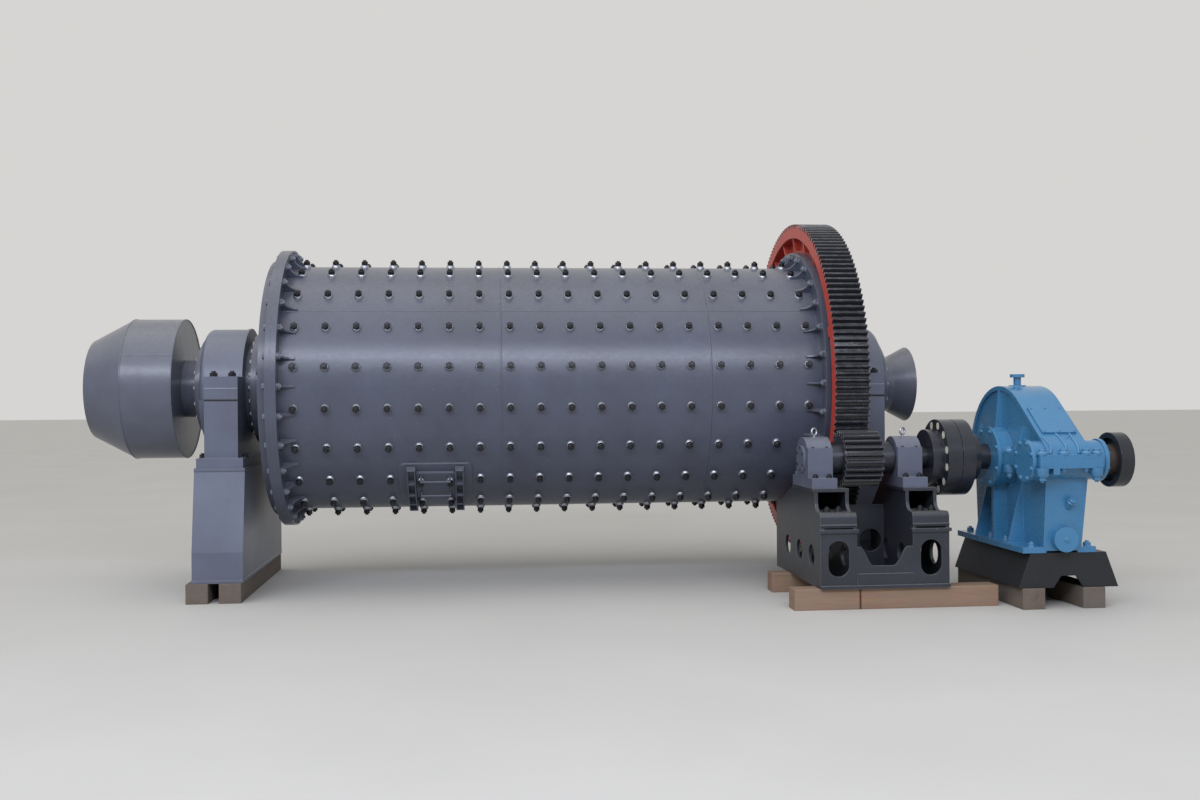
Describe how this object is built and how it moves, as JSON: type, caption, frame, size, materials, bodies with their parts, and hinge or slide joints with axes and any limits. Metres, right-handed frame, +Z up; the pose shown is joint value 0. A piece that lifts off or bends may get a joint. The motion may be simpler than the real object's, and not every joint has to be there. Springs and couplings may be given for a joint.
{
  "type": "ball mill",
  "caption": "Edge-driven ball mill: bolted shell on two trunnion bearings, girth gear and pinion, pin coupling and gearbox, set on timber packing.",
  "frame": {"origin": "on the floor, at the middle of the machine's bounding box", "axes": "+X along the mill axis from the feed end to the drive end, +Y away from the pinion side, +Z up"},
  "size_m": [8.191, 3.9136, 3.224],
  "materials": {
    "weathered_timber": "rough sawn, weathered and cracked",
    "pedestal_paint": "blue-grey satin paint",
    "base_paint": "dark grey satin paint",
    "stand_paint": "black satin paint",
    "gearbox_paint": "sky blue gloss paint",
    "shell_paint": "dark blue-grey satin paint",
    "drum_paint": "grey satin paint",
    "gear_primer": "red oxide primer, black grease on the teeth",
    "greased_steel": "black grease on cut steel",
    "shaft_steel": "turned steel, oiled",
    "coupling_black": "black satin paint",
    "nylon": "off-white nylon"
  },
  "bodies": {
    "frame": {"feed_timbers": "weathered_timber", "discharge_timbers": "weathered_timber", "pinion_timbers": "weathered_timber", "gearbox_timbers": "weathered_timber", "feed_pedestal": "pedestal_paint", "feed_bearing_base": "pedestal_paint", "feed_bearing_cap": "pedestal_paint", "discharge_pedestal": "pedestal_paint", "discharge_bearing_base": "pedestal_paint", "discharge_bearing_cap": "pedestal_paint", "left_pinion_bearing_base": "pedestal_paint", "left_pinion_bearing_cap": "pedestal_paint", "right_pinion_bearing_base": "pedestal_paint", "right_pinion_bearing_cap": "pedestal_paint", "pinion_base": "base_paint", "gearbox_stand": "stand_paint", "gearbox_lower_case": "gearbox_paint", "gearbox_upper_case": "gearbox_paint", "gearbox_bearing_covers": "gearbox_paint", "gearbox_inspection_cover": "gearbox_paint", "gearbox_breather": "gearbox_paint", "gearbox_oil_cover": "gearbox_paint"},
    "mill": {"shell": "shell_paint", "feed_head": "shell_paint", "feed_trunnion": "shell_paint", "feed_neck": "shell_paint", "feed_drum": "drum_paint", "discharge_head": "shell_paint", "discharge_trunnion": "shell_paint", "discharge_cone": "drum_paint", "girth_gear_lower_half": "gear_primer", "girth_gear_upper_half": "gear_primer", "manhole_cover": "shell_paint", "manhole_clamps": "shell_paint"},
    "pinion_line": {"pinion": "greased_steel", "pinion_shaft": "shaft_steel", "coupling_driven_half": "coupling_black", "coupling_pins": "nylon", "coupling_driving_half": "coupling_black", "gearbox_output_shaft": "shaft_steel"},
    "input_line": {"gearbox_input_shaft": "shaft_steel", "motor_half_coupling": "coupling_black"}
  },
  "joints": [
    {"name": "mill_spin", "type": "hinge", "parent": "frame", "child": "mill", "pos_m": [-0.1395, 0.4786, 1.748], "axis": [1, 0, 0], "continuous": true},
    {"name": "pinion_spin", "type": "hinge", "parent": "frame", "child": "pinion_line", "pos_m": [2.2475, -1.0701, 1.1367], "axis": [1, 0, 0], "continuous": true},
    {"name": "input_spin", "type": "hinge", "parent": "frame", "child": "input_line", "pos_m": [3.9605, -1.7521, 1.1367], "axis": [1, 0, 0], "continuous": true}
  ],
  "couplings": [
    {"joint": "pinion_spin", "follows": "mill_spin", "ratio": -7.0435},
    {"joint": "input_spin", "follows": "mill_spin", "ratio": 31.696}
  ]
}
